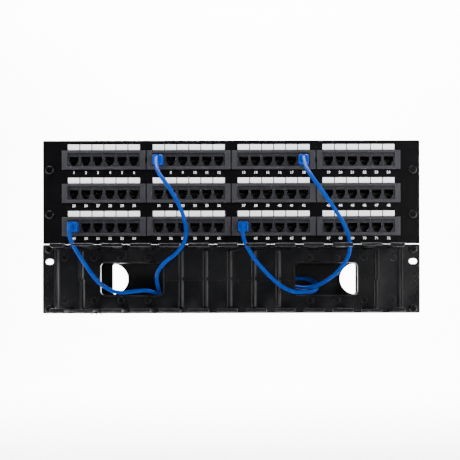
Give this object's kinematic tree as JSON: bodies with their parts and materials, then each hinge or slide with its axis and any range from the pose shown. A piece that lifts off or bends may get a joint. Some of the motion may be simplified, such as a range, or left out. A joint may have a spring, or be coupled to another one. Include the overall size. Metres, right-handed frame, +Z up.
{
  "type": "patch panel",
  "caption": "Rack patch panel with rows of modular jacks above a finger-duct cable manager, joined by two plugged-in patch cords with boots.",
  "frame": {"origin": "centre of the panel's four screws, in the plane of the rack rails' front faces", "axes": "+X to the right seen from the front, +Y back into the rack along the screws, +Z up"},
  "size_m": [0.4826, 0.16, 0.2229],
  "materials": {
    "panel_paint": "fine satin black powder coat",
    "bezel_plastic": "fine textured charcoal",
    "jack_plastic": "satin dark grey",
    "insert_plastic": "satin black",
    "circuit_board": "green solder mask",
    "block_plastic": "off-white moulded",
    "label_card": "white printed card",
    "screw_black": "black oxide",
    "manager_plastic": "fine textured dark grey",
    "clear_plastic": "clear polycarbonate",
    "boot_blue": "soft blue moulding",
    "cord_blue": "satin blue jacket"
  },
  "bodies": {
    "panel_and_manager": {"panel_plate": "panel_paint", "bezel_r1_c1": "bezel_plastic", "bezel_r1_c2": "bezel_plastic", "bezel_r1_c3": "bezel_plastic", "bezel_r1_c4": "bezel_plastic", "bezel_r2_c1": "bezel_plastic", "bezel_r2_c2": "bezel_plastic", "bezel_r2_c3": "bezel_plastic", "bezel_r2_c4": "bezel_plastic", "bezel_r3_c1": "bezel_plastic", "bezel_r3_c2": "bezel_plastic", "bezel_r3_c3": "bezel_plastic", "bezel_r3_c4": "bezel_plastic", "jacks_r1_c1": "jack_plastic", "jacks_r1_c2": "jack_plastic", "jacks_r1_c3": "jack_plastic", "jacks_r1_c4": "jack_plastic", "jacks_r2_c1": "jack_plastic", "jacks_r2_c2": "jack_plastic", "jacks_r2_c3": "jack_plastic", "jacks_r2_c4": "jack_plastic", "jacks_r3_c1": "jack_plastic", "jacks_r3_c2": "jack_plastic", "jacks_r3_c3": "jack_plastic", "jacks_r3_c4": "jack_plastic", "jack_inserts_row_1": "insert_plastic", "jack_inserts_row_2": "insert_plastic", "jack_inserts_row_3": "insert_plastic", "circuit_boards_row_1": "circuit_board", "circuit_boards_row_2": "circuit_board", "circuit_boards_row_3": "circuit_board", "punch_down_blocks_row_1": "block_plastic", "punch_down_blocks_row_2": "block_plastic", "punch_down_blocks_row_3": "block_plastic", "label_strips_row_1": "label_card", "label_strips_row_2": "label_card", "label_strips_row_3": "label_card", "panel_screws": "screw_black", "manager_base": "manager_plastic", "top_fingers": "manager_plastic", "bottom_fingers": "manager_plastic", "rear_plate": "manager_plastic", "rear_ceiling": "manager_plastic", "rear_floor": "manager_plastic", "manager_screws": "screw_black", "plug_port_07": "clear_plastic", "boot_port_07": "boot_blue", "plug_port_49": "clear_plastic", "boot_port_49": "boot_blue", "plug_port_18": "clear_plastic", "boot_port_18": "boot_blue", "plug_port_61": "clear_plastic", "boot_port_61": "boot_blue", "cord_a": "cord_blue", "cord_b": "cord_blue"},
    "latch_07": {"latch_lever_port_07": "clear_plastic"},
    "latch_49": {"latch_lever_port_49": "clear_plastic"},
    "latch_18": {"latch_lever_port_18": "clear_plastic"},
    "latch_61": {"latch_lever_port_61": "clear_plastic"}
  },
  "joints": [
    {"name": "latch_press_07", "type": "hinge", "parent": "panel_and_manager", "child": "latch_07", "pos_m": [-0.09285, 0.0062, 0.03825], "axis": [-1, 0, 0], "range_deg": [0, 7], "stiffness_Nm_per_rad": 0.1},
    {"name": "latch_press_49", "type": "hinge", "parent": "panel_and_manager", "child": "latch_49", "pos_m": [-0.20155, 0.0062, -0.04695], "axis": [-1, 0, 0], "range_deg": [0, 7], "stiffness_Nm_per_rad": 0.1},
    {"name": "latch_press_18", "type": "hinge", "parent": "panel_and_manager", "child": "latch_18", "pos_m": [0.09285, 0.0062, 0.03825], "axis": [-1, 0, 0], "range_deg": [0, 7], "stiffness_Nm_per_rad": 0.1},
    {"name": "latch_press_61", "type": "hinge", "parent": "panel_and_manager", "child": "latch_61", "pos_m": [0.01585, 0.0062, -0.04695], "axis": [-1, 0, 0], "range_deg": [0, 7], "stiffness_Nm_per_rad": 0.1}
  ]
}
